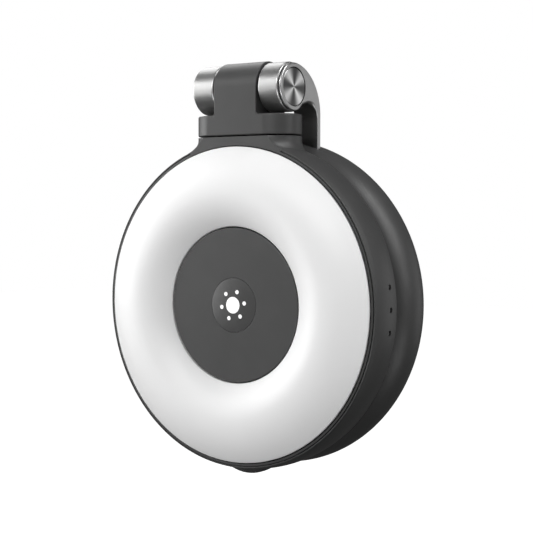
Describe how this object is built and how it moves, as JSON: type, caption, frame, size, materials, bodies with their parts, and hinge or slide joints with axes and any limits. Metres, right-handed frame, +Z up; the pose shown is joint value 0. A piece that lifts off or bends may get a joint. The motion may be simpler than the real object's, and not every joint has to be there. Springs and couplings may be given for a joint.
{
  "type": "folding ring light",
  "caption": "Round light head with a crowned ring diffuser and a centre button, hinged at the top by a one-sided arm to a round magnetic back pod.",
  "frame": {"origin": "centre of the grip pad's back face, which rests on whatever the light is fixed to", "axes": "+Y out of the back face, away from the light head; -Y is the way the light looks when folded; +Z up towards the hinge; +X to the right seen from the front, where the arm is"},
  "size_m": [0.0696, 0.0273, 0.0863],
  "materials": {
    "housing_plastic": "fine matte moulding, dark grey",
    "cap_plastic": "smooth matte, dark grey",
    "diffuser_plastic": "satin translucent white",
    "icon_plastic": "smooth translucent white",
    "reflector_plastic": "white reflector",
    "light_pipe_plastic": "smoked clear",
    "barrel_aluminium": "satin turned, bright chamfers",
    "arm_aluminium": "grey bead-blasted anodised",
    "spun_aluminium": "spun with fine circular lines",
    "fastener_steel": "plain machined",
    "circuit_board": "solder mask",
    "battery_foil": "laminated foil pouch",
    "magnet_nickel": "nickel plated",
    "ballast_steel": "turned steel",
    "grip_rubber": "matte silicone"
  },
  "bodies": {
    "pod": {"pod_shell": "housing_plastic", "pod_back_cover": "housing_plastic", "pod_cover_screw_1": "fastener_steel", "pod_cover_screw_2": "fastener_steel", "pod_cover_screw_3": "fastener_steel", "grip_pad": "grip_rubber", "ballast_ring": "ballast_steel", "magnet_tray": "housing_plastic", "magnet_shunt_ring": "fastener_steel", "magnet_1": "magnet_nickel", "magnet_2": "magnet_nickel", "magnet_3": "magnet_nickel", "magnet_4": "magnet_nickel", "magnet_5": "magnet_nickel", "magnet_6": "magnet_nickel", "magnet_7": "magnet_nickel", "magnet_8": "magnet_nickel", "hinge_arm": "arm_aluminium", "arm_screw_1": "fastener_steel", "arm_screw_2": "fastener_steel", "right_barrel": "barrel_aluminium", "hinge_end_cap": "spun_aluminium", "hinge_shaft": "fastener_steel", "friction_washer_left": "fastener_steel", "friction_washer_right": "fastener_steel", "disc_spring_1": "fastener_steel", "disc_spring_2": "fastener_steel", "hinge_nut": "fastener_steel"},
    "head": {"head_housing": "housing_plastic", "diffuser_ring": "diffuser_plastic", "center_cap": "cap_plastic", "reflector_ring": "reflector_plastic", "led_board": "circuit_board", "tact_switch": "fastener_steel", "battery": "battery_foil", "charge_board": "circuit_board", "usb_c_port": "fastener_steel", "indicator_light_pipe": "light_pipe_plastic", "head_back_cover": "housing_plastic", "cover_screw_1": "fastener_steel", "cover_screw_2": "fastener_steel", "cover_screw_3": "fastener_steel", "cover_screw_4": "fastener_steel", "hinge_bracket": "housing_plastic", "bracket_screw_1": "fastener_steel", "bracket_screw_2": "fastener_steel", "left_barrel": "barrel_aluminium"},
    "button": {"dome_button": "cap_plastic", "button_icon": "icon_plastic"}
  },
  "joints": [
    {"name": "head_hinge", "type": "hinge", "parent": "pod", "child": "head", "pos_m": [0, -0.01852, 0.04504], "axis": [-1, 0, 0], "range_deg": [0, 180]},
    {"name": "button_press", "type": "slide", "parent": "head", "child": "button", "axis": [0, 1, 0], "range_m": [0, 0.00025], "stiffness_N_per_m": 1500}
  ]
}
